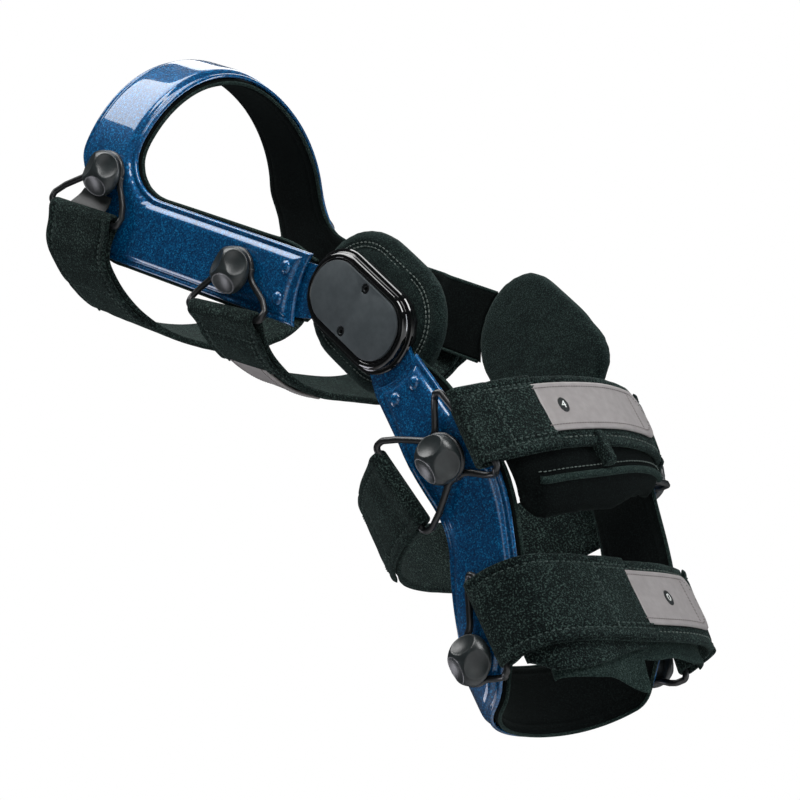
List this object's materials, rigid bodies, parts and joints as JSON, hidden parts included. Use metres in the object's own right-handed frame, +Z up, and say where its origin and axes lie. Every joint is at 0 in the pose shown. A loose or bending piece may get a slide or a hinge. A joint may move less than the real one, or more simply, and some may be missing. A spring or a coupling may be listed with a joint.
{
  "type": "osteoarthritis knee brace",
  "caption": "Rigid knee brace with a front thigh shell, a rear calf shell, geared side hinges, padded liners and fabric straps on wire loops and knobs, bent as it is worn.",
  "frame": {"origin": "the knee's centre, midway between the two hinges and midway between their pivots", "axes": "+Z up along the calf, which hangs straight down; the front of the knee looks along -Y; +X is the side of the medial hinge"},
  "size_m": [0.1668, 0.2076, 0.3921],
  "materials": {
    "shell": "gloss metallic flake blue",
    "fabric": "brushed loop fabric, dark green black",
    "lining": "soft padded lining, black",
    "gloss": "gloss black moulding",
    "badge": "satin dark grey plate, bare",
    "knob": "satin charcoal moulding",
    "wire": "black coated steel wire",
    "tab": "grained grey tab with a stitched edge",
    "steel": "dark steel"
  },
  "bodies": {
    "thigh": {"thigh_frame": "shell", "thigh_liner": "lining", "thigh_hinge_arm_lateral": "shell", "thigh_hinge_arm_medial": "shell", "thigh_rivet_1_lateral": "shell", "thigh_rivet_2_lateral": "shell", "thigh_rivet_1_medial": "shell", "thigh_rivet_2_medial": "shell", "thigh_upper_knob_lateral": "knob", "thigh_upper_knob_medial": "knob", "thigh_lower_knob_lateral": "knob", "thigh_lower_knob_medial": "knob", "upper_thigh_strap": "fabric", "upper_thigh_strap_loop_lateral": "wire", "upper_thigh_strap_loop_medial": "wire", "lower_thigh_strap": "fabric", "lower_thigh_strap_loop_lateral": "wire", "lower_thigh_strap_loop_medial": "wire", "lower_thigh_tab": "tab"},
    "calf": {"calf_frame": "shell", "calf_liner": "lining", "calf_hinge_arm_lateral": "shell", "calf_hinge_arm_medial": "shell", "calf_rivet_1_lateral": "shell", "calf_rivet_2_lateral": "shell", "calf_rivet_1_medial": "shell", "calf_rivet_2_medial": "shell", "calf_upper_knob_lateral": "knob", "calf_upper_knob_medial": "knob", "calf_lower_knob_lateral": "knob", "calf_lower_knob_medial": "knob", "upper_calf_strap": "fabric", "upper_calf_strap_loop_lateral": "wire", "upper_calf_strap_loop_medial": "wire", "upper_shin_strap": "fabric", "upper_shin_strap_loop_lateral": "wire", "upper_shin_strap_loop_medial": "wire", "lower_shin_strap": "fabric", "lower_shin_strap_loop_lateral": "wire", "lower_shin_strap_loop_medial": "wire", "upper_shin_tab": "tab", "lower_shin_tab": "tab", "tibia_pad": "lining", "lower_shin_lining": "lining"},
    "hinge_lateral": {"hinge_cap_lateral": "gloss", "hinge_badge_lateral": "badge", "hinge_back_lateral": "steel", "condyle_pad_lateral": "fabric", "hinge_screw_1_lateral": "steel", "hinge_screw_2_lateral": "steel"},
    "hinge_medial": {"hinge_cap_medial": "gloss", "hinge_badge_medial": "badge", "hinge_back_medial": "steel", "condyle_pad_medial": "fabric", "hinge_screw_1_medial": "steel", "hinge_screw_2_medial": "steel"}
  },
  "joints": [
    {"name": "knee_flexion_upper_lateral", "type": "hinge", "parent": "thigh", "child": "hinge_lateral", "pos_m": [-0.0632, 0.00367, 0.01037], "axis": [1, 0, 0], "range_deg": [-19.5, 25.5]},
    {"name": "knee_flexion_lower_lateral", "type": "hinge", "parent": "hinge_lateral", "child": "calf", "pos_m": [-0.0632, -0.00367, -0.01037], "axis": [1, 0, 0], "range_deg": [-19.5, 25.5]},
    {"name": "knee_flexion_upper_medial", "type": "hinge", "parent": "thigh", "child": "hinge_medial", "pos_m": [0.0632, 0.00367, 0.01037], "axis": [1, 0, 0], "range_deg": [-19.5, 25.5]}
  ],
  "couplings": [
    {"joint": "knee_flexion_lower_lateral", "follows": "knee_flexion_upper_lateral", "ratio": 1},
    {"joint": "knee_flexion_upper_medial", "follows": "knee_flexion_upper_lateral", "ratio": 1}
  ]
}
